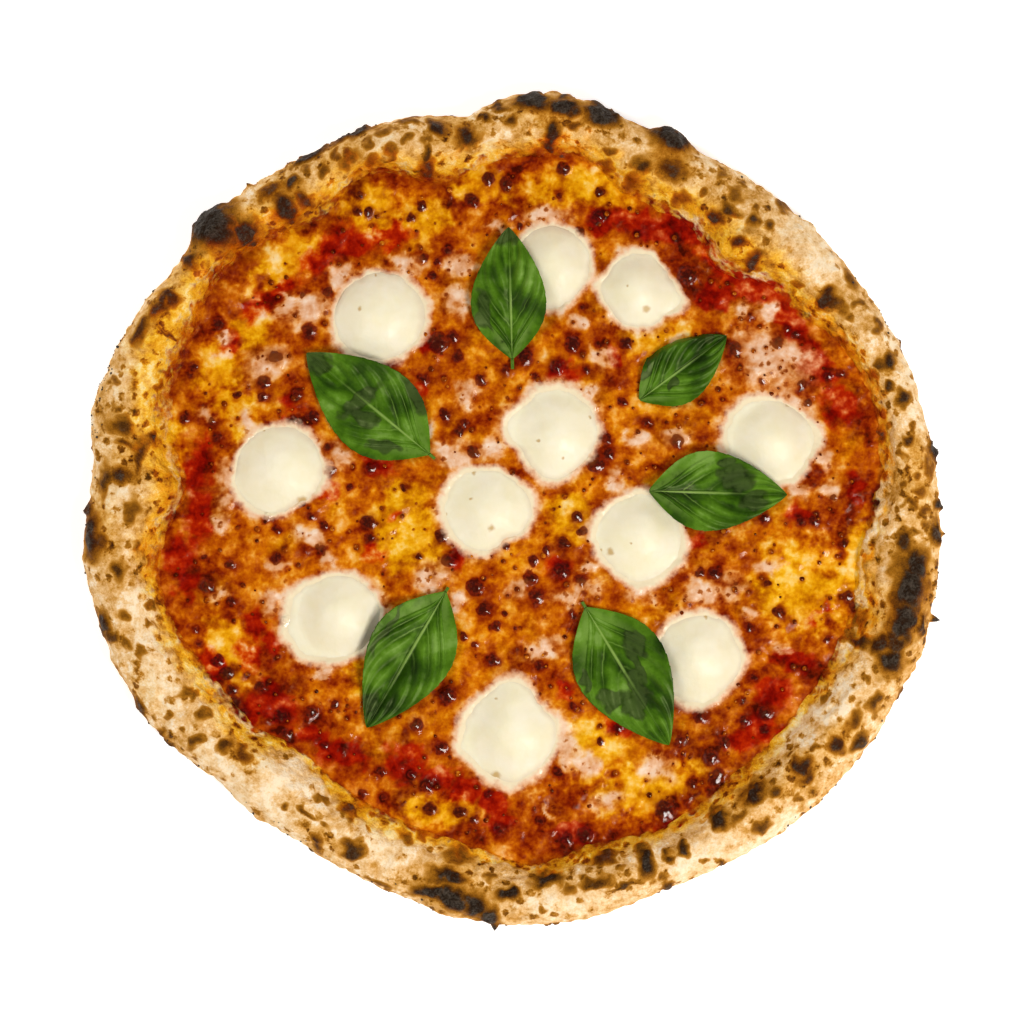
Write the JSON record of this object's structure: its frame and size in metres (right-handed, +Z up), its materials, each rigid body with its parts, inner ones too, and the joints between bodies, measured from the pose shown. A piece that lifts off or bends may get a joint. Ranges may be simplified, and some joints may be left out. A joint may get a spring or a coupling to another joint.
{
  "type": "margherita pizza",
  "caption": "Round baked pizza with a puffed, charred rim, tomato and melted cheese, soft mozzarella domes and basil leaves.",
  "frame": {"origin": "middle of the flat underside, at the centre of the bounding box seen from above", "axes": "+Z up through the toppings, +X to the right and +Y away from the viewer as the pizza is seen from above"},
  "size_m": [0.3209, 0.3108, 0.0237],
  "materials": {
    "baked_dough": "matt, floury, charred in spots",
    "tomato_and_melted_cheese": "oily gloss",
    "mozzarella": "moist satin",
    "basil": "soft leaf gloss"
  },
  "bodies": {
    "root": {"crust": "baked_dough", "sauce_and_cheese": "tomato_and_melted_cheese", "mozzarella_1": "mozzarella", "mozzarella_2": "mozzarella", "mozzarella_3": "mozzarella", "mozzarella_4": "mozzarella", "mozzarella_5": "mozzarella", "mozzarella_6": "mozzarella", "mozzarella_7": "mozzarella", "mozzarella_8": "mozzarella", "mozzarella_9": "mozzarella", "mozzarella_10": "mozzarella", "mozzarella_11": "mozzarella", "basil_leaf_1": "basil", "basil_leaf_2": "basil", "basil_leaf_3": "basil", "basil_leaf_4": "basil", "basil_leaf_5": "basil", "basil_leaf_6": "basil"}
  },
  "joints": []
}
